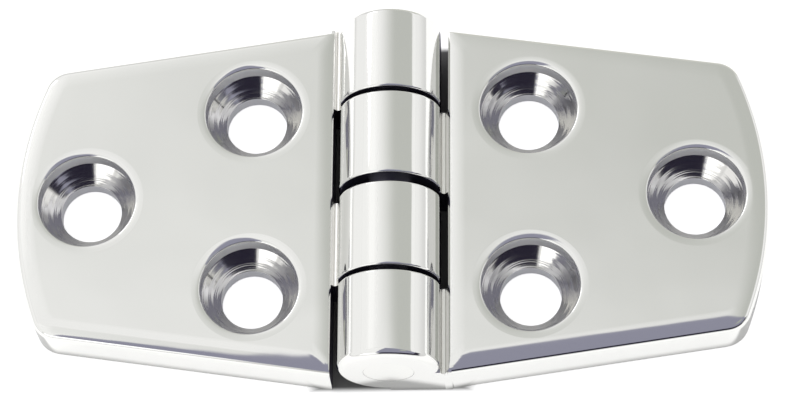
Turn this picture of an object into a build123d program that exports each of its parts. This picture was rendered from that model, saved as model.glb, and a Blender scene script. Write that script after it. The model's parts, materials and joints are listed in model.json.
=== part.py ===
from build123d import *
from math import radians, tan
import os

# Surface hinge lying open and flat on its undersides.
# X runs across the two leaves, Y along the pin, Z up from the mounting surface.
# Both leaves are one casting: the left one is the right one turned half round about Z.

# Leaves
open_width = 76.0  # tip to tip
leaf_width = 37.8  # along the pin, where the leaf meets the barrel
leaf_end_width = 29.0  # between the outer corners, before they are rounded
end_bulge = 3.0  # how far the arched tip stands out past the corners
leaf_thickness = 5.1
corner_radius = 2.8  # outer corners, seen from above
top_edge_radius = 1.3  # soft polished edge all round the top
bottom_edge_radius = 0.3

# Barrel of four knuckles, its underside level with the leaves
closed_leaf_gap = 0.1  # between the two top faces when the hinge is folded shut
barrel_end_setback = 0.1  # from the leaves' inner corners to each end of the barrel
outer_knuckle_gap = 0.45  # between an end knuckle and its neighbour
middle_knuckle_gap = 0.9
knuckle_edge_chamfer = 0.25
end_edge_radius = 0.7  # at the two ends of the barrel
leaf_to_barrel_clearance = 0.75  # between a leaf and the other leaf's knuckles
web_height = 3.7  # the neck that joins a knuckle to its leaf, lower than the leaf

# Pin
pin_diameter = 5.0
pin_running_clearance = 0.05  # radial, in the knuckles that turn on it
pin_end_chamfer = 0.1

# Screw holes, recessed so that the heads sit below the surface
screw_hole_diameter = 6.2
screw_hole_straight = 1.5  # plain hole below the countersink
head_recess_diameter = 9.75
countersink_angle = 90.0
rim_chamfer = 0.45
inner_hole_x = 14.0
inner_hole_spacing = 19.2
outer_hole_to_tip = 7.3

axis_height = leaf_thickness + closed_leaf_gap / 2
barrel_radius = axis_height
leaf_edge_x = barrel_radius + leaf_to_barrel_clearance
tip_x = open_width / 2
barrel_length = leaf_width - 2 * barrel_end_setback
pin_axis = Axis((0, 0, axis_height), (0, 1, 0))
knuckle_length = (barrel_length - 2 * outer_knuckle_gap - middle_knuckle_gap) / 4
countersink_depth = (head_recess_diameter - screw_hole_diameter) / 2 / tan(radians(countersink_angle / 2))
recess_floor = screw_hole_straight + countersink_depth
screw_places = [
    (inner_hole_x, inner_hole_spacing / 2, recess_floor),
    (inner_hole_x, -inner_hole_spacing / 2, recess_floor),
    (tip_x - outer_hole_to_tip, 0, recess_floor),
]


def leaf_casting(bore_diameter):
    """The leaf that lies towards +X, with its own knuckles: the nearest of the four and the third on."""
    near_end = -barrel_length / 2
    far_side = (tip_x - end_bulge, leaf_end_width / 2)
    near_side = (tip_x - end_bulge, -leaf_end_width / 2)

    with BuildPart() as casting:
        # Plate: straight tapering sides and an arched tip
        with BuildSketch():
            with BuildLine():
                Polyline(
                    far_side,
                    (leaf_edge_x, leaf_width / 2),
                    (leaf_edge_x, -leaf_width / 2),
                    near_side,
                )
                ThreePointArc(near_side, (tip_x, 0), far_side)
            make_face()
            fillet(vertices().group_by(Axis.X)[-1], corner_radius)
        extrude(amount=leaf_thickness)
        fillet(faces().sort_by(Axis.Z)[-1].edges(), top_edge_radius)
        fillet(faces().sort_by(Axis.Z)[0].edges(), bottom_edge_radius)

        # Screw holes, with the sharp rim taken off each recess
        with Locations(*screw_places):
            CounterSinkHole(
                radius=screw_hole_diameter / 2,
                counter_sink_radius=head_recess_diameter / 2,
                depth=recess_floor,
                counter_sink_angle=countersink_angle,
            )
        rims = edges().filter_by(GeomType.CIRCLE).group_by(Axis.Z)[-1]
        chamfer(rims, rim_chamfer)

        # Knuckles
        for start in (near_end, middle_knuckle_gap / 2):
            with BuildSketch(Plane.YZ):
                with Locations((start, axis_height)):
                    Rectangle(knuckle_length, barrel_radius, align=(Align.MIN, Align.MIN))
                near_corner, far_corner = vertices().group_by(Axis.Y)[-1].sort_by(Axis.X)
                chamfer(far_corner, knuckle_edge_chamfer)
                if start == near_end:
                    fillet(near_corner, end_edge_radius)
                else:
                    chamfer(near_corner, knuckle_edge_chamfer)
            revolve(axis=pin_axis)
            # Neck, which leaves a groove between the knuckle and the leaf's rounded edge
            with BuildSketch(Plane.XZ.offset(-start)):
                Rectangle(leaf_edge_x + bottom_edge_radius, web_height, align=(Align.MIN, Align.MIN))
            extrude(amount=-knuckle_length)

        # Bore for the pin
        with BuildSketch(Plane.XZ.offset(-near_end)):
            with Locations((0, axis_height)):
                Circle(bore_diameter / 2)
        extrude(amount=-barrel_length, mode=Mode.SUBTRACT)
    return casting.part


# Running leaf
with BuildPart() as right_leaf:
    add(leaf_casting(pin_diameter + 2 * pin_running_clearance))
right_leaf.part.label = "right_leaf"

# Leaf that grips the pin
with BuildPart() as left_leaf:
    add(leaf_casting(pin_diameter), rotation=(0, 0, 180))
left_leaf.part.label = "left_leaf"

# Pin, flush with the ends of the barrel
with BuildPart() as hinge_pin:
    with BuildSketch(Plane.XZ.offset(barrel_length / 2)):
        with Locations((0, axis_height)):
            Circle(pin_diameter / 2)
    extrude(amount=-barrel_length)
    chamfer(edges().filter_by(GeomType.CIRCLE), pin_end_chamfer)
hinge_pin.part.label = "hinge_pin"

os.makedirs("parts", exist_ok=True)
export_step(right_leaf.part, "parts/right_leaf.step")
export_step(left_leaf.part, "parts/left_leaf.step")
export_step(hinge_pin.part, "parts/hinge_pin.step")
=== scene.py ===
import json
from math import atan2, cos, hypot, pi, radians, sin, sqrt, tan

import bmesh
import bpy
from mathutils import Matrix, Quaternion, Vector


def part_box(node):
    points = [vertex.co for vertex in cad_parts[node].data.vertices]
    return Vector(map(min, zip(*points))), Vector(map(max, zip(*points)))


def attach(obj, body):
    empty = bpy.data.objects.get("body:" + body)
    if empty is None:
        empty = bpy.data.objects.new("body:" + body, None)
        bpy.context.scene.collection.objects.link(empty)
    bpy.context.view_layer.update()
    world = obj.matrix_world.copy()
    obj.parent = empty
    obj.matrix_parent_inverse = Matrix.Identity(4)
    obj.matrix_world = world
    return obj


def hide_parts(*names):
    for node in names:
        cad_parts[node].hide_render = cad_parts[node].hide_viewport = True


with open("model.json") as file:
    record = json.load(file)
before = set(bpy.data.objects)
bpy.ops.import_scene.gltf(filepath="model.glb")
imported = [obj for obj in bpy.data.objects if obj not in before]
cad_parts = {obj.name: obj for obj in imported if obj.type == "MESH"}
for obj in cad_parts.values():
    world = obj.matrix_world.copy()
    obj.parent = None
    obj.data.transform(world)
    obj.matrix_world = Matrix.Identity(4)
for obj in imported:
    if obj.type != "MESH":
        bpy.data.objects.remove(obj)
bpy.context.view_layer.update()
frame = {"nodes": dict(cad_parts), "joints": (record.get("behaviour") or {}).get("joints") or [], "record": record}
print("frame loaded:", ", ".join(sorted(frame["nodes"])))

mm = 0.001
hair = mm / 100                  # slack in tests, smaller than any form
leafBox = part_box("right_leaf")
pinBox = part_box("hinge_pin")
axisHeight = frame["joints"][0]["pos_m"][2]
barrelRadius = leafBox[1].z - axisHeight
barrelEnd = pinBox[1].y
holes = [Vector(mount["pos_m"]) for mount in frame["record"]["mounts"]
         if mount["kind"] == "bore" and mount["name"].startswith("right")]
holeRadius = frame["record"]["mounts"][0]["dims"]["r_mm"] * mm


# small helpers

def deselectAll():
    if bpy.context.object and bpy.context.object.mode != "OBJECT":
        bpy.ops.object.mode_set(mode="OBJECT")
    bpy.ops.object.select_all(action="DESELECT")


def makeActive(piece):
    deselectAll()
    piece.select_set(True)
    bpy.context.view_layer.objects.active = piece


def editMode(elements="VERT"):
    bpy.ops.object.mode_set(mode="EDIT")
    bpy.ops.mesh.select_mode(type=elements)


def objectMode():
    bpy.ops.object.mode_set(mode="OBJECT")


def pick(test, elements="FACE"):
    # selects the faces, edges or vertices that pass the test
    bpy.ops.mesh.select_mode(type=elements)
    bpy.ops.mesh.select_all(action="DESELECT")
    mesh = bmesh.from_edit_mesh(bpy.context.object.data)
    group = {"VERT": mesh.verts, "EDGE": mesh.edges, "FACE": mesh.faces}[elements]
    for element in group:
        if test(element):
            element.select = True
    mesh.select_flush_mode()
    bmesh.update_edit_mesh(bpy.context.object.data)


def drawFrom(place, name):
    # one point to draw an outline with
    deselectAll()
    bpy.ops.mesh.primitive_plane_add(size=mm, location=place)
    piece = bpy.context.object
    piece.name = name
    bpy.ops.object.transform_apply(location=True)
    editMode()
    bpy.ops.mesh.select_all(action="SELECT")
    bpy.ops.mesh.merge(type="CENTER")
    return piece


def lineBy(step):
    bpy.ops.mesh.extrude_region_move(TRANSFORM_OT_translate={"value": step})


def arcBy(turn, centre, axis, steps):
    # the spin operator counts its angle clockwise round the axis
    bpy.ops.mesh.spin(steps=steps, angle=-turn, center=centre, axis=axis)


def closeOutline():
    bpy.ops.mesh.select_all(action="SELECT")
    bpy.ops.mesh.remove_doubles(threshold=mm / 1000)
    bpy.ops.mesh.edge_face_add()


def thicken(step):
    lineBy(step)
    bpy.ops.mesh.select_all(action="SELECT")
    bpy.ops.mesh.normals_make_consistent(inside=False)


def combine(piece, other, operation):
    deselectAll()
    modifier = piece.modifiers.new(operation.lower(), "BOOLEAN")
    modifier.operation = operation
    modifier.solver = "EXACT"
    modifier.object = other
    makeActive(piece)
    bpy.ops.object.modifier_apply(modifier=modifier.name)
    bpy.data.objects.remove(other)


def polishNormals(piece, angle):
    # smooth across the rounded edges, with the large faces kept flat
    makeActive(piece)
    bpy.ops.object.shade_smooth_by_angle(angle=radians(angle))
    weighted = piece.modifiers.new("weighted", "WEIGHTED_NORMAL")
    weighted.keep_sharp = True
    weighted.weight = 100
    bpy.ops.object.modifier_apply(modifier=weighted.name)


def copyPiece(piece, name):
    copy = piece.copy()
    copy.data = piece.data.copy()
    copy.name = name
    bpy.context.collection.objects.link(copy)
    return copy


# edges as buffing leaves them: a tight radius, then a shallow crown that fades into the flat top

def rollOff(edge):
    # how far in from the wall and how far up, point by point
    slope = radians(edge["crownSlope"])
    crownRadius = edge["crownWidth"] / sin(slope)
    points = []
    for step in range(1, edge["radiusSteps"] + 1):
        tilt = pi / 2 - (pi / 2 - slope) * step / edge["radiusSteps"]
        points.append((edge["radius"] * (1 - sin(tilt)), edge["radius"] * cos(tilt)))
    inward, upward = points[-1]
    for step in range(1, edge["crownSteps"] + 1):
        tilt = slope * (1 - step / edge["crownSteps"])
        points.append((inward + crownRadius * (sin(slope) - sin(tilt)),
                       upward + crownRadius * (cos(tilt) - cos(slope))))
    return points


# right leaf: plate

plate = {
    "thickness": 5.1 * mm,
    "innerEdge": 5.45 * mm,      # from the pin's axis to the polished edge beside the leaf's own knuckles
    "slotEdge": 5.85 * mm,       # to the slots for the other leaf's knuckles, milled after polishing
    "endWidth": 29 * mm,         # between the outer corners
    "endBulge": 3 * mm,          # how far the arched tip stands out past them
    "cornerRadius": 2.8 * mm,
    "topEdge": {"radius": 0.8 * mm, "radiusSteps": 9,
                "crownWidth": 1.5 * mm, "crownSlope": 12, "crownSteps": 5},
    "bottomRounding": 0.3 * mm,
    "bottomSteps": 3,
    "arcSteps": 56,
    "cornerSteps": 12,
    "sideCuts": 29,              # so that a corner's shading doesn't run along a whole side
}


def makePlate():
    tip = leafBox[1].x
    halfWidth = leafBox[1].y
    bulge = plate["endBulge"]
    halfEnd = plate["endWidth"] / 2
    archRadius = (bulge ** 2 + halfEnd ** 2) / (2 * bulge)
    archCentre = Vector((tip - archRadius, 0))
    corner = Vector((tip - bulge, -halfEnd))
    inner = Vector((plate["innerEdge"], -halfWidth))

    # the small corner circle touches the tapering side and the arch from inside
    along = (corner - inner).normalized()
    inward = Vector((-along.y, along.x))
    radius = plate["cornerRadius"]
    fromArch = inner + inward * radius - archCentre
    reach = -fromArch.dot(along) + sqrt(fromArch.dot(along) ** 2 - fromArch.length_squared
                                        + (archRadius - radius) ** 2)
    cornerCentre = inner + inward * radius + along * reach
    start = cornerCentre - inward * radius
    outward = cornerCentre - archCentre
    archHalf = -atan2(outward.y, outward.x)
    cornerTurn = (-archHalf) - atan2(-inward.y, -inward.x)

    piece = drawFrom((start.x, start.y, 0), "right_leaf_casting")
    up = (0, 0, 1)
    arcBy(cornerTurn, (cornerCentre.x, cornerCentre.y, 0), up, plate["cornerSteps"])
    arcBy(2 * archHalf, (archCentre.x, archCentre.y, 0), up, plate["arcSteps"])
    arcBy(cornerTurn, (cornerCentre.x, -cornerCentre.y, 0), up, plate["cornerSteps"])
    lineBy((inner.x - start.x, -inner.y + start.y, 0))
    lineBy((0, 2 * inner.y, 0))
    closeOutline()
    roll = rollOff(plate["topEdge"])
    thicken((0, 0, plate["thickness"] - roll[-1][1]))
    pick(lambda face: face.normal.z > 0.9)
    inward, upward = 0, 0
    for nextInward, nextUpward in roll:
        bpy.ops.mesh.inset(thickness=nextInward - inward, depth=nextUpward - upward)
        inward, upward = nextInward, nextUpward
    pick(lambda edge: all(vert.co.z < hair for vert in edge.verts), "EDGE")
    bpy.ops.mesh.bevel(offset=plate["bottomRounding"], segments=plate["bottomSteps"],
                       affect="EDGES", clamp_overlap=False)
    pick(lambda edge: edge.calc_length() > plate["thickness"], "EDGE")
    bpy.ops.mesh.subdivide(number_cuts=plate["sideCuts"])
    objectMode()
    return piece


# knuckles, necks and bore

knuckle = {
    "outerGap": 0.45 * mm,       # between an end knuckle and its neighbour
    "middleGap": 0.9 * mm,
    "endRounding": 0.7 * mm,     # at the two ends of the barrel
    "edgeRounding": 0.25 * mm,
    "nearSteps": 8,
    "farSteps": 4,
    "sides": 160,
    "grooveTop": 4.85 * mm,      # height at which the groove between a knuckle and its leaf meets both
    "grooveOverlap": 0.02 * mm,  # how far it cuts into them
    "grooveSteps": 12,
}
pinRod = {
    "radius": (pinBox[1].x - pinBox[0].x) / 2,
    "clearance": 0.01 * mm,      # between the pin and its bore
    "endRounding": 0.04 * mm,
    "endSteps": 2,
    "sides": 96,
}
knuckleLength = (2 * barrelEnd - 2 * knuckle["outerGap"] - knuckle["middleGap"]) / 4


def makeKnuckle(start, nearRounding):
    deselectAll()
    bpy.ops.mesh.primitive_cylinder_add(
        vertices=knuckle["sides"], radius=barrelRadius, depth=knuckleLength,
        location=(0, start + knuckleLength / 2, axisHeight), rotation=(pi / 2, 0, 0))
    piece = bpy.context.object
    bpy.ops.object.transform_apply(location=True, rotation=True)
    editMode()
    end = start + knuckleLength
    pick(lambda edge: all(vert.co.y > end - hair for vert in edge.verts), "EDGE")
    bpy.ops.mesh.bevel(offset=knuckle["edgeRounding"], segments=knuckle["farSteps"],
                       affect="EDGES", clamp_overlap=False)
    pick(lambda edge: all(vert.co.y < start + hair for vert in edge.verts), "EDGE")
    bpy.ops.mesh.bevel(offset=nearRounding, segments=knuckle["nearSteps"],
                       affect="EDGES", clamp_overlap=False)
    objectMode()
    return piece


def groove():
    # the half round between the barrel's flank and the leaf's edge: distance from the pin's axis, radius
    edge = plate["topEdge"]
    height = knuckle["grooveTop"]
    upward = height - plate["thickness"] + rollOff(edge)[-1][1]
    knuckleSide = sqrt(barrelRadius ** 2 - (axisHeight - height) ** 2)
    leafSide = plate["innerEdge"] + edge["radius"] - sqrt(edge["radius"] ** 2 - upward ** 2)
    return (knuckleSide + leafSide) / 2, (leafSide - knuckleSide) / 2 + knuckle["grooveOverlap"]


def makeNeck(start):
    # a block from under the barrel into the plate, with the groove along its top
    middle, radius = groove()
    height = knuckle["grooveTop"]
    reach = middle + radius + plate["bottomRounding"]
    piece = drawFrom((0, start, 0), "neck")
    lineBy((reach, 0, 0))
    lineBy((0, 0, height))
    lineBy((middle + radius - reach, 0, 0))
    arcBy(pi, (middle, start, height), (0, 1, 0), knuckle["grooveSteps"])
    lineBy((radius - middle, 0, 0))
    closeOutline()
    thicken((0, knuckleLength, 0))
    objectMode()
    return piece


def slotCutter(start, end):
    # room for one of the other leaf's knuckles and the gaps beside it
    deselectAll()
    bpy.ops.mesh.primitive_cube_add(size=1, location=(plate["slotEdge"] / 2, (start + end) / 2, 0))
    bpy.ops.transform.resize(value=(plate["slotEdge"], end - start, 4 * plate["thickness"]))
    bpy.ops.object.transform_apply(location=True, scale=True)
    return bpy.context.object


def boreCutter():
    deselectAll()
    bpy.ops.mesh.primitive_cylinder_add(
        vertices=pinRod["sides"], radius=pinRod["radius"] + pinRod["clearance"], depth=3 * barrelEnd,
        location=(0, 0, axisHeight), rotation=(pi / 2, 0, 0))
    bpy.ops.object.transform_apply(location=True, rotation=True)
    return bpy.context.object


# screw holes

screwHole = {
    "straight": 1.5 * mm,        # plain hole below the countersink
    "headRecess": 4.875 * mm,    # radius of the wall round the screw's head
    "countersink": 90,           # degrees
    "rim": {"radius": 0.3 * mm, "radiusSteps": 6,
            "crownWidth": 0.8 * mm, "crownSlope": 7, "crownSteps": 4},
    "sides": 128,
}


def holeProfile():
    # radius and height from the plain hole up: countersink, wall for the screw's head, rolled rim
    wall = screwHole["headRecess"]
    depth = (wall - holeRadius) / tan(radians(screwHole["countersink"] / 2))
    roll = rollOff(screwHole["rim"])
    wallTop = plate["thickness"] - roll[-1][1]
    points = [(holeRadius, screwHole["straight"]), (wall, screwHole["straight"] + depth), (wall, wallTop)]
    points += [(wall + outward, wallTop + upward) for outward, upward in roll[:-1]]
    # the last slope runs on through the top face
    (lowRadius, lowHeight), (radius, height) = points[-2:]
    points.append((radius + 4 * (radius - lowRadius), height + 4 * (height - lowHeight)))
    return points


def holeCutter(place):
    deselectAll()
    height, radius = -1 * mm, holeRadius     # the cutter starts a little below the underside
    bpy.ops.mesh.primitive_circle_add(vertices=screwHole["sides"], radius=radius, fill_type="NGON",
                                      location=(place.x, place.y, height))
    bpy.ops.object.transform_apply(location=True)
    editMode("FACE")
    bpy.ops.mesh.select_all(action="SELECT")
    for nextRadius, nextHeight in holeProfile():
        lineBy((0, 0, nextHeight - height))
        grow = nextRadius / radius
        bpy.ops.transform.resize(value=(grow, grow, 1), center_override=(place.x, place.y, 0))
        radius, height = nextRadius, nextHeight
    bpy.ops.mesh.select_all(action="SELECT")
    bpy.ops.mesh.normals_make_consistent(inside=False)
    objectMode()
    return bpy.context.object


def makeLeaf():
    leaf = makePlate()
    for hole in holes:
        combine(leaf, holeCutter(hole), "DIFFERENCE")
    nearKnuckle, farKnuckle = -barrelEnd, knuckle["middleGap"] / 2
    # the second slot runs out past the end of the barrel
    slots = ((nearKnuckle + knuckleLength, farKnuckle),
             (farKnuckle + knuckleLength, barrelEnd + 1 * mm))
    for start, end in slots:
        combine(leaf, slotCutter(start, end), "DIFFERENCE")
    for start, rounding in ((nearKnuckle, knuckle["endRounding"]),
                            (farKnuckle, knuckle["edgeRounding"])):
        combine(leaf, makeNeck(start), "UNION")
        combine(leaf, makeKnuckle(start, rounding), "UNION")
    combine(leaf, boreCutter(), "DIFFERENCE")
    makeActive(leaf)
    editMode()
    bpy.ops.mesh.select_all(action="SELECT")
    bpy.ops.mesh.remove_doubles(threshold=mm / 2000)
    objectMode()
    return leaf


def makePin():
    deselectAll()
    bpy.ops.mesh.primitive_cylinder_add(
        vertices=pinRod["sides"], radius=pinRod["radius"], depth=2 * barrelEnd,
        location=(0, 0, axisHeight), rotation=(pi / 2, 0, 0))
    piece = bpy.context.object
    piece.name = "hinge_pin_rod"
    bpy.ops.object.transform_apply(location=True, rotation=True)
    editMode()
    pick(lambda edge: abs(edge.verts[0].co.y - edge.verts[1].co.y) < hair, "EDGE")
    bpy.ops.mesh.bevel(offset=pinRod["endRounding"], segments=pinRod["endSteps"],
                       affect="EDGES", clamp_overlap=False)
    objectMode()
    return piece


# materials

def linear(hexColour):
    channels = [int(hexColour[i:i + 2], 16) / 255 for i in (1, 3, 5)]
    return tuple(c / 12.92 if c <= 0.04045 else ((c + 0.055) / 1.055) ** 2.4 for c in channels) + (1,)


def addNode(tree, kind, inputs=None, **settings):
    node = tree.nodes.new(kind)
    for name, value in settings.items():
        setattr(node, name, value)
    for name, value in (inputs or {}).items():
        if isinstance(value, bpy.types.NodeSocket):
            tree.links.new(value, node.inputs[name])
        else:
            node.inputs[name].default_value = value
    return node


def newMaterial(name):
    material = bpy.data.materials.new(name)
    material.use_nodes = True
    material.node_tree.nodes.clear()
    return material


def mirrorPolishedSteel():
    # cast stainless buffed on a wheel: a mirror that still waves a little and clouds over in patches
    material = newMaterial("mirror_polished_cast_stainless")
    tree = material.node_tree
    look = {"waveSize": 15 * mm, "waveHeight": 0.18 * mm, "hazeSize": 13 * mm,
            "light": "#D8D8D5", "clouded": "#D1D1CF", "lightRoughness": 0.04, "cloudedRoughness": 0.09}
    place = addNode(tree, "ShaderNodeTexCoord").outputs["Object"]
    waves = addNode(tree, "ShaderNodeTexNoise", {
        "Vector": place, "Scale": 1 / look["waveSize"], "Detail": 1.5})
    haze = addNode(tree, "ShaderNodeTexNoise", {
        "Vector": place, "Scale": 1 / look["hazeSize"], "Detail": 3.0})
    colour = addNode(tree, "ShaderNodeMix", {
        "Factor": haze.outputs["Fac"], "A": linear(look["light"]), "B": linear(look["clouded"])},
        data_type="RGBA")
    roughness = addNode(tree, "ShaderNodeMapRange", {
        "Value": haze.outputs["Fac"], "From Min": 0.3, "From Max": 0.7,
        "To Min": look["lightRoughness"], "To Max": look["cloudedRoughness"]})
    bump = addNode(tree, "ShaderNodeBump", {"Height": waves.outputs["Fac"], "Distance": look["waveHeight"]})
    metal = addNode(tree, "ShaderNodeBsdfPrincipled", {
        "Base Color": colour.outputs["Result"], "Metallic": 1.0, "Roughness": roughness.outputs["Result"],
        "Normal": bump.outputs["Normal"]})
    addNode(tree, "ShaderNodeOutputMaterial", {"Surface": metal.outputs["BSDF"]})
    return material


def toolMarkedSteel(name, look, measure):
    # steel as a tool left it, with marks at a real pitch along whatever the measure gives
    material = newMaterial(name)
    tree = material.node_tree
    place = addNode(tree, "ShaderNodeTexCoord").outputs["Object"]
    marks = addNode(tree, "ShaderNodeTexNoise", {
        "W": measure(tree, place), "Scale": 1 / look["pitch"], "Detail": 2.0}, noise_dimensions="1D")
    bump = addNode(tree, "ShaderNodeBump", {"Height": marks.outputs[0], "Distance": look["depth"]})
    metal = addNode(tree, "ShaderNodeBsdfPrincipled", {
        "Base Color": linear(look["colour"]), "Metallic": 1.0, "Roughness": look["roughness"],
        "Normal": bump.outputs["Normal"]})
    addNode(tree, "ShaderNodeOutputMaterial", {"Surface": metal.outputs["BSDF"]})
    return material


def fromHole(tree, place):
    # the six holes lie alike in the four quarters, so one quarter serves them all
    quarter = addNode(tree, "ShaderNodeVectorMath", {0: place}, operation="ABSOLUTE")
    flat = addNode(tree, "ShaderNodeVectorMath", {
        0: quarter.outputs["Vector"], 1: (1, 1, 0)}, operation="MULTIPLY")
    outer, inner = [addNode(tree, "ShaderNodeVectorMath", {
        0: flat.outputs["Vector"], 1: (hole.x, hole.y, 0)}, operation="DISTANCE").outputs["Value"]
        for hole in holes if hole.y > -hair]
    return addNode(tree, "ShaderNodeMath", {0: outer, 1: inner}, operation="MINIMUM").outputs[0]


def fromPinAxis(tree, place):
    across = addNode(tree, "ShaderNodeVectorMath", {0: place, 1: (1, 0, 1)}, operation="MULTIPLY")
    return addNode(tree, "ShaderNodeVectorMath", {
        0: across.outputs["Vector"], 1: (0, 0, axisHeight)}, operation="DISTANCE").outputs["Value"]


def alongHeight(tree, place):
    return addNode(tree, "ShaderNodeSeparateXYZ", {"Vector": place}).outputs["Z"]


def alongPin(tree, place):
    return addNode(tree, "ShaderNodeSeparateXYZ", {"Vector": place}).outputs["Y"]


# countersinks are cut by a rotary tool and only lightly buffed: rings that drag every reflection out;
# the upright walls keep the boring tool's blurred grey; the grooves are soft from a narrow bob, and their paler
# colour is a painted highlight; the faces in the gaps, where no wheel reaches, are dull as milled, and their dark
# colour is painted shade between the parts; the underside is belt-ground in lines along the leaf; the pin is
# ground round
toolMarks = {
    "turned": ("turned_countersink_stainless", {
        "pitch": 0.28 * mm, "depth": 0.012 * mm, "colour": "#D0CFCC", "roughness": 0.1}, fromHole),
    "bored": ("bored_recess_stainless", {
        "pitch": 0.18 * mm, "depth": 0.004 * mm, "colour": "#DCDCE0", "roughness": 0.28}, alongHeight),
    # the grooves' paler colour is a painted highlight; the soft roughness and fine marks are the bob's satin
    # finish
    "satin": ("satin_groove_painted_highlight_stainless", {
        "pitch": 0.2 * mm, "depth": 0.002 * mm, "colour": "#E4E3E0", "roughness": 0.28}, alongPin),
    # the dark lilac-grey colour is painted shade in the gaps; the marks and the dull roughness are the mill's
    "milled": ("milled_painted_shade_stainless", {
        "pitch": 0.3 * mm, "depth": 0.004 * mm, "colour": "#5F5C70", "roughness": 0.38}, alongHeight),
    "linished": ("linished_underside_stainless", {
        "pitch": 0.16 * mm, "depth": 0.003 * mm, "colour": "#C2C1BE", "roughness": 0.3}, alongPin),
    "ground": ("ground_pin_stainless", {
        "pitch": 0.12 * mm, "depth": 0.001 * mm, "colour": "#D6D6D3", "roughness": 0.12}, fromPinAxis),
}


def dressMetal(piece, finishes):
    # the last finish whose test a face passes is the one it gets
    for number, (material, test) in enumerate(finishes):
        piece.data.materials.append(material)
        for face in piece.data.polygons:
            if test(face.center, face.normal):
                face.material_index = number


def everywhere(centre, normal):
    return True


def underneath(centre, normal):
    return normal.z < -0.9 and centre.z < 0.1 * mm


def inHole(centre, normal):
    # a flat face that bends round a hole can have its centre in it, so height and direction count too
    side = -1 if centre.x < 0 else 1
    reach = screwHole["headRecess"] + 2 * hair
    belowTop = normal.z > -0.9 and centre.z < plate["thickness"] - 2 * hair
    return belowTop and any(
        hypot(centre.x * side - hole.x, centre.y - hole.y) < reach for hole in holes)


def onHoleWall(centre, normal):
    return inHole(centre, normal) and abs(normal.z) < 0.1


def inGroove(centre, normal):
    middle, radius = groove()
    top = knuckle["grooveTop"]
    besideBarrel = hypot(centre.x, centre.z - axisHeight) > barrelRadius + hair
    beforeLeaf = top - radius < centre.z < top and abs(centre.x) < middle + radius
    return besideBarrel and beforeLeaf and normal.z > 0.1


def facingGapsInShade(centre, normal):
    # faces that look into the gaps between the knuckles or onto the barrel, all but at the barrel's two ends,
    # which the wheel does reach; the dark colour they get is painted shade between the parts
    withinBarrel = abs(centre.y) < barrelEnd - 1 * mm and abs(centre.x) < plate["slotEdge"]
    facesGap = abs(normal.y) > 0.9 and withinBarrel
    facesBarrel = abs(normal.x) > 0.9 and abs(abs(centre.x) - plate["slotEdge"]) < hair
    return facesGap or facesBarrel


# building

rightLeaf = makeLeaf()
leftLeaf = copyPiece(rightLeaf, "left_leaf_casting")
makeActive(leftLeaf)
leftLeaf.rotation_euler.z = pi
bpy.ops.object.transform_apply(rotation=True)
pin = makePin()
steel = {name: toolMarkedSteel(*marks) for name, marks in toolMarks.items()}
leafFinishes = (
    (mirrorPolishedSteel(), everywhere),
    (steel["linished"], underneath),
    (steel["turned"], inHole),
    (steel["bored"], onHoleWall),
    (steel["satin"], inGroove),
    (steel["milled"], facingGapsInShade),
)
pinFinishes = ((steel["ground"], everywhere),)
for piece, body, node, slot, finishes in (
        (rightLeaf, "right", "right_leaf", "leaf_casting", leafFinishes),
        (leftLeaf, "left", "left_leaf", "leaf_casting", leafFinishes),
        (pin, "left", "hinge_pin", "pin", pinFinishes)):
    polishNormals(piece, angle=35)
    dressMetal(piece, finishes)
    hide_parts(node)
    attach(piece, body)
    print(piece.name, len(piece.data.polygons), "faces")


# studio

def glowThrough(tree, colour, strength, size, fade):
    # light from a sheet of cloth, thinned out towards its edges
    place = addNode(tree, "ShaderNodeTexCoord").outputs["UV"]
    axes = addNode(tree, "ShaderNodeSeparateXYZ", {"Vector": place})
    mask = 1.0
    for axis, side, (low, high) in zip("XY", size, fade):
        for start, width in ((0.0, low), (1.0, -high)):
            if not width:
                continue
            edge = addNode(tree, "ShaderNodeMapRange", {
                "Value": axes.outputs[axis], "From Min": start, "From Max": start + width / side},
                interpolation_type="SMOOTHSTEP")
            mask = addNode(tree, "ShaderNodeMath", {
                0: mask, 1: edge.outputs[0]}, operation="MULTIPLY").outputs[0]
    glow = addNode(tree, "ShaderNodeEmission", {"Color": colour, "Strength": strength})
    clear = addNode(tree, "ShaderNodeBsdfTransparent")
    mixed = addNode(tree, "ShaderNodeMixShader", {0: mask, 1: clear.outputs[0], 2: glow.outputs[0]})
    addNode(tree, "ShaderNodeOutputMaterial", {"Surface": mixed.outputs[0]})


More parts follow.
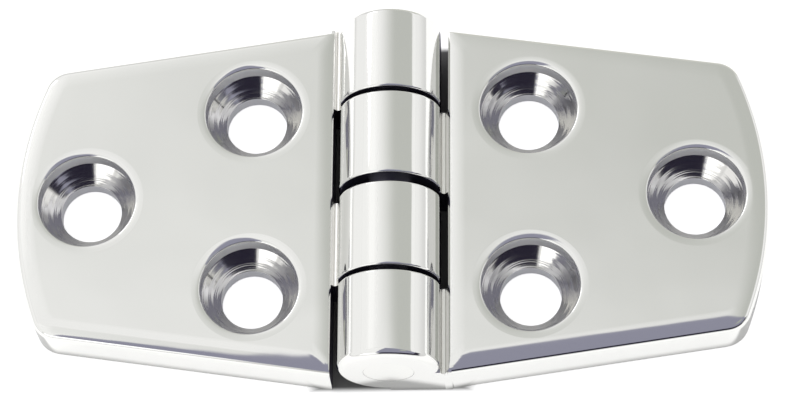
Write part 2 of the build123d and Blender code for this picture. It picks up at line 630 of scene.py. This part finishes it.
# cloths and boards that the polished metal reflects, and that nothing else sees; fade is how far each
# edge thins out, at the low and high end of both sides
studioCards = {
    "white_ceiling": {"place": (0.0, 0.3, 1.1), "size": (4.2, 4.4), "tilt": 0, "turn": 0,
                      "colour": "#FFFFFF", "strength": 1.3, "fade": ((0.2, 0.2), (0.3, 0.3))},
    "left_wall": {"place": (-2.0, 0.2, 0.55), "size": (3.4, 1.12), "tilt": 90, "turn": 90,
                  "colour": "#FFFFFF", "strength": 1.28, "fade": ((0.3, 0.3), (0.3, 0.0))},
    "overhead_cloth": {"place": (0.385, 0.45, 1.0), "size": (1.81, 2.9), "tilt": 0, "turn": 0,
                       "colour": "#DEE0DB", "strength": 1.0, "fade": ((0.8, 0.05), (0.1, 0.3))},
    "front_strip": {"place": (-0.3, 0.27, 0.99), "size": (1.7, 0.43), "tilt": 0, "turn": 0,
                    "colour": "#FFFFFF", "strength": 1.25, "fade": ((0.3, 0.7), (0.05, 0.25))},
    "front_ceiling": {"place": (0.825, -1.331, 0.98), "size": (2.8, 2.4), "tilt": 0, "turn": -20,
                      "colour": "#A6A6BA", "strength": 1.0, "fade": ((0.03, 0.3), (0.2, 0.05))},
    "pale_board": {"place": (0.65, -0.3, 0.96), "size": (0.5, 0.5), "tilt": 0, "turn": 0,
                   "colour": "#C9CEC4", "strength": 1.0, "fade": ((0.15, 0.15), (0.15, 0.15))},
    "front_flag": {"place": (0.975, -1.5, 0.59), "size": (2.85, 0.78), "tilt": 90, "turn": 0,
                   "colour": "#2B2839", "strength": 1.0, "fade": ((0.1, 0.06), (0.1, 0.0))},
    "right_flag": {"place": (1.95, -0.9, 0.75), "size": (1.3, 0.6), "tilt": 90, "turn": 90,
                   "colour": "#2E2B3C", "strength": 1.0, "fade": ((0.05, 0.3), (0.1, 0.1))},
    "right_wall": {"place": (2.0, 0.7, 0.8), "size": (2.2, 1.6), "tilt": 90, "turn": 90,
                   "colour": "#FFFFFF", "strength": 1.25, "fade": ((0.2, 0.3), (0.9, 0.0))},
    "back_wall": {"place": (0.7, 1.9, 0.75), "size": (2.6, 1.5), "tilt": 90, "turn": 0,
                  "colour": "#EEEFE8", "strength": 1.0, "fade": ((0.5, 0.1), (0.0, 0.2))},
    "front_softbox": {"place": (-1.2, -1.45, 0.55), "size": (1.46, 0.7), "tilt": 90, "turn": 0,
                      "colour": "#FFFFFF", "strength": 2.0, "fade": ((0.3, 0.08), (0.15, 0.1))},
    "left_highlight": {"place": (-0.75, 0.5, 1.0), "size": (0.7, 1.2), "tilt": 0, "turn": 0,
                       "colour": "#FFFFFF", "strength": 1.42, "fade": ((0.25, 0.3), (0.2, 0.2))},
}


def makeCards():
    for name, card in studioCards.items():
        deselectAll()
        bpy.ops.mesh.primitive_plane_add(size=1, location=card["place"],
                                         rotation=(radians(card["tilt"]), 0, radians(card["turn"])))
        sheet = bpy.context.object
        sheet.name = name
        sheet.scale = (*card["size"], 1)
        material = newMaterial(name)
        glowThrough(material.node_tree, linear(card["colour"]), card["strength"],
                    card["size"], card["fade"])
        sheet.data.materials.append(material)
        for ray in ("camera", "diffuse", "shadow", "transmission", "volume_scatter"):
            setattr(sheet, "visible_" + ray, False)


# the floor glows with fill light for the camera everywhere but under the barrel, and its paint is darker there
# too:
# painted shade, so that the gaps there stay dark; in the metal's reflections it glows only beyond the leaves'
# outline, so the floor under them shows painted shade there
whiteFloor = {
    "size": 4,
    "drop": 0.02 * mm,           # below the undersides
    "seenFill": 0.6,
    "mirroredFill": 0.7,
    "paint": 0.9,
    # floor paint under the barrel, darker: painted shade
    "paintedShade": 0.15,
    "gapMargin": 1 * mm,         # the dark part reaches this far past the leaves' inner edges
    "gapFade": 2.5 * mm,
    "endSetback": 0.4 * mm,      # and stops this far short of the barrel's ends
    "endFade": 0.8 * mm,
    "outlineFade": 0.6 * mm,
}


def fillBeyond(tree, most, edges):
    # nothing inside all the edges, the most outside any of them
    fill = 0.0
    for distance, edge, width in edges:
        outside = addNode(tree, "ShaderNodeMapRange", {
            "Value": distance, "From Min": edge, "From Max": edge + width, "To Max": most},
            interpolation_type="SMOOTHSTEP")
        fill = addNode(tree, "ShaderNodeMath", {
            0: fill, 1: outside.outputs[0]}, operation="MAXIMUM").outputs[0]
    return fill


def makeFloor():
    deselectAll()
    bpy.ops.mesh.primitive_plane_add(size=whiteFloor["size"], location=(0, 0, -whiteFloor["drop"]))
    floor = bpy.context.object
    floor.name = "floor"
    material = newMaterial("white_floor")
    tree = material.node_tree
    rays = addNode(tree, "ShaderNodeLightPath")
    place = addNode(tree, "ShaderNodeTexCoord").outputs["Object"]
    away = addNode(tree, "ShaderNodeVectorMath", {0: place}, operation="ABSOLUTE").outputs["Vector"]
    across = addNode(tree, "ShaderNodeSeparateXYZ", {"Vector": away})
    halfWidth = leafBox[1].y
    length = leafBox[1].x - plate["endBulge"] - plate["innerEdge"]
    taper = (halfWidth - plate["endWidth"] / 2) / length
    fromSide = addNode(tree, "ShaderNodeVectorMath", {0: away, 1: (taper, 1, 0)}, operation="DOT_PRODUCT")
    # the camera's fill, none under the barrel: painted shade in the gaps
    seen = fillBeyond(tree, whiteFloor["seenFill"], (
        (across.outputs["X"], plate["innerEdge"] + whiteFloor["gapMargin"], whiteFloor["gapFade"]),
        (across.outputs["Y"], barrelEnd - whiteFloor["endSetback"], whiteFloor["endFade"])))
    mirrored = fillBeyond(tree, whiteFloor["mirroredFill"], (
        (across.outputs["X"], leafBox[1].x, whiteFloor["outlineFade"]),
        (fromSide.outputs["Value"], halfWidth + taper * plate["innerEdge"], whiteFloor["outlineFade"])))
    fills = [addNode(tree, "ShaderNodeMath", {
        0: rays.outputs[ray], 1: fill}, operation="MULTIPLY").outputs[0]
        for ray, fill in (("Is Camera Ray", seen), ("Is Glossy Ray", mirrored))]
    strength = addNode(tree, "ShaderNodeMath", {0: fills[0], 1: fills[1]}, operation="MAXIMUM")
    # the paint darkens where the camera's fill stops: painted shade under the barrel
    grey = addNode(tree, "ShaderNodeMapRange", {
        "Value": seen, "From Max": whiteFloor["seenFill"],
        "To Min": whiteFloor["paintedShade"], "To Max": whiteFloor["paint"]})
    paint = addNode(tree, "ShaderNodeBsdfDiffuse", {"Color": grey.outputs[0]})
    glow = addNode(tree, "ShaderNodeEmission", {"Strength": strength.outputs[0]})
    both = addNode(tree, "ShaderNodeAddShader", {0: paint.outputs[0], 1: glow.outputs[0]})
    addNode(tree, "ShaderNodeOutputMaterial", {"Surface": both.outputs[0]})
    floor.data.materials.append(material)


def makeWorld():
    world = bpy.data.worlds.new("white_studio")
    bpy.context.scene.world = world
    world.use_nodes = True
    tree = world.node_tree
    tree.nodes.clear()
    rays = addNode(tree, "ShaderNodeLightPath")
    seen = rays.outputs["Is Camera Ray"]
    for ray in ("Is Glossy Ray", "Is Transmission Ray"):
        seen = addNode(tree, "ShaderNodeMath", {
            0: seen, 1: rays.outputs[ray]}, operation="ADD", use_clamp=True).outputs[0]
    light = addNode(tree, "ShaderNodeBackground", {"Color": (1, 1, 1, 1), "Strength": 0.85})
    white = addNode(tree, "ShaderNodeBackground", {"Color": (1, 1, 1, 1), "Strength": 1.0})
    mixed = addNode(tree, "ShaderNodeMixShader", {0: seen, 1: light.outputs[0], 2: white.outputs[0]})
    addNode(tree, "ShaderNodeOutputWorld", {"Surface": mixed.outputs[0]})


def placeCamera():
    view = {"place": (14.627, -113.902, 270.294), "azimuth": -6.879, "elevation": 66.806,
            "roll": -7.082, "lens": 129.43}
    data = bpy.data.cameras.new("camera")
    data.lens = view["lens"]
    data.sensor_width = 36
    data.clip_start = 0.01
    data.clip_end = 10
    camera = bpy.data.objects.new("camera", data)
    bpy.context.collection.objects.link(camera)
    azimuth, elevation = radians(view["azimuth"]), radians(view["elevation"])
    level = cos(elevation)
    forward = Vector((sin(azimuth) * level, cos(azimuth) * level, -sin(elevation)))
    camera.location = Vector(view["place"]) * mm
    camera.rotation_mode = "QUATERNION"
    roll = Quaternion((0, 0, 1), radians(view["roll"]))
    camera.rotation_quaternion = forward.to_track_quat("-Z", "Y") @ roll
    bpy.context.scene.camera = camera


def makeLamp(name, place, size, power):
    data = bpy.data.lights.new(name, "AREA")
    data.shape = "RECTANGLE"
    data.size, data.size_y = size
    data.energy = power
    lamp = bpy.data.objects.new(name, data)
    bpy.context.collection.objects.link(lamp)
    lamp.location = place
    lamp.rotation_euler = (-Vector(place)).to_track_quat("-Z", "Y").to_euler()


makeFloor()
makeWorld()
makeCards()
placeCamera()
makeLamp("soft_left", (-0.9, 0.9, 1.1), (0.6, 0.6), 4.0)
bpy.context.scene.view_settings.view_transform = "Standard"
print("studio ready")
